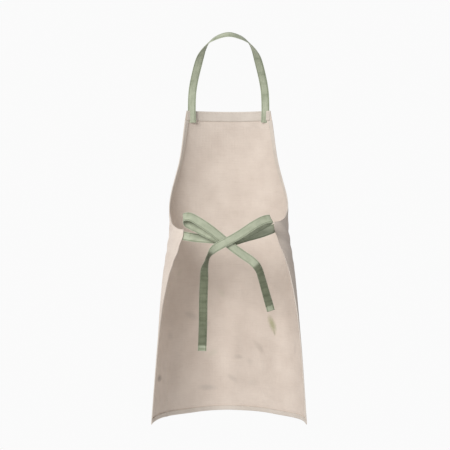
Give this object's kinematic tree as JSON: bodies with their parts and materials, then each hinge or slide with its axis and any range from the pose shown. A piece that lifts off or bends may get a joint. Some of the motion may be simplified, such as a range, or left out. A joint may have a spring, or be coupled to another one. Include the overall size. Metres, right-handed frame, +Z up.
{
  "type": "artist apron",
  "caption": "Canvas bib apron in its worn shape, with a tape neck strap, a patch pocket and tape waist ties tied in a bow behind.",
  "frame": {"origin": "the neck strap's inner side at the middle of the back of the neck", "axes": "+Z up, the front of the apron faces -Y, +X towards the wearer's left"},
  "size_m": [0.4148, 0.3176, 1.0411],
  "materials": {
    "canvas": "natural cotton canvas",
    "hem": "natural cotton canvas, folded and stitched",
    "tape": "sage green cotton tape"
  },
  "bodies": {
    "apron": {"apron_panel": "canvas", "bottom_hem": "hem", "bib_top_hem": "hem", "left_armhole_hem": "hem", "right_armhole_hem": "hem", "left_side_hem": "hem", "right_side_hem": "hem", "patch_pocket": "canvas", "left_strap_end": "tape", "right_strap_end": "tape", "left_tie_band": "tape", "right_tie_band": "tape", "bow_knot": "tape"},
    "strap": {"neck_strap": "tape"},
    "left_loop": {"left_bow_loop": "tape"},
    "right_loop": {"right_bow_loop": "tape"},
    "left_tie_tail": {"left_tail": "tape"},
    "right_tie_tail": {"right_tail": "tape"}
  },
  "joints": [
    {"name": "strap_lift", "type": "hinge", "parent": "apron", "child": "strap", "pos_m": [0, -0.14419, -0.18864], "axis": [1, 0, 0], "range_deg": [0, 105]},
    {"name": "left_loop_tilt", "type": "hinge", "parent": "apron", "child": "left_loop", "pos_m": [0.007, 0.075, -0.552], "axis": [0, 1, 0], "range_deg": [-15, 20]},
    {"name": "right_loop_tilt", "type": "hinge", "parent": "apron", "child": "right_loop", "pos_m": [0.007, 0.075, -0.552], "axis": [0, 1, 0], "range_deg": [-20, 15]},
    {"name": "left_tail_swing", "type": "hinge", "parent": "apron", "child": "left_tie_tail", "pos_m": [0.007, 0.075, -0.552], "axis": [0, 1, 0], "range_deg": [-15, 25]},
    {"name": "right_tail_swing", "type": "hinge", "parent": "apron", "child": "right_tie_tail", "pos_m": [0.007, 0.075, -0.552], "axis": [0, 1, 0], "range_deg": [-25, 15]}
  ]
}
